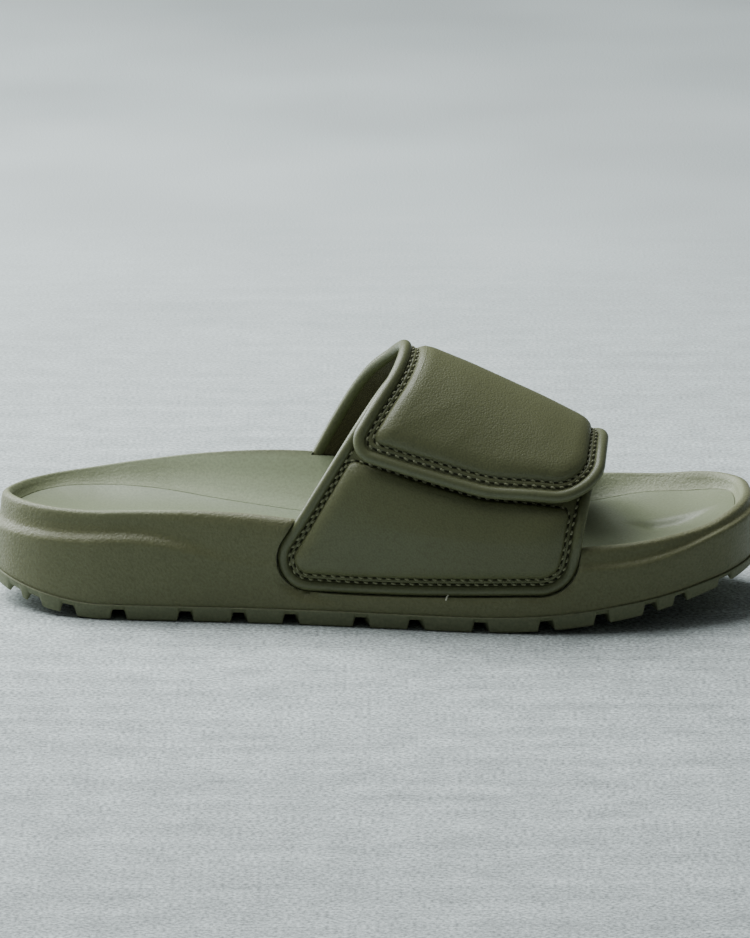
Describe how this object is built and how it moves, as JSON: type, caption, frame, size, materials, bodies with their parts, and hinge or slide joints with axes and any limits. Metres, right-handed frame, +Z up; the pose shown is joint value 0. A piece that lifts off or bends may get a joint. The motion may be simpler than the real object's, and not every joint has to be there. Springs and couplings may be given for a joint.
{
  "type": "sport slide sandal",
  "caption": "Right slide sandal with a moulded foam footbed, lugged tread and a padded strap closed by a flap on the outer side.",
  "frame": {"origin": "floor level under the middle of the sole's box", "axes": "+X from heel to toe, +Y to the inner side of the foot, +Z up"},
  "size_m": [0.29, 0.1051, 0.1007],
  "materials": {
    "outsole_rubber": "moulded olive rubber, matt",
    "midsole_foam": "moulded EVA foam with a fine pebbled skin",
    "insole_foam": "moulded EVA foam with a fine satin grain",
    "strap_leather": "coated leather with a fine grain, soft gloss",
    "binding_leather": "rolled edge tape, soft gloss",
    "loop_tape": "woven hook-and-loop tape"
  },
  "bodies": {
    "root": {"outsole": "outsole_rubber", "midsole": "midsole_foam", "insole": "insole_foam", "strap_outer": "strap_leather", "strap_inner": "strap_leather", "fastener_patch": "loop_tape", "binding_outer": "binding_leather", "binding_inner": "binding_leather"}
  },
  "joints": []
}
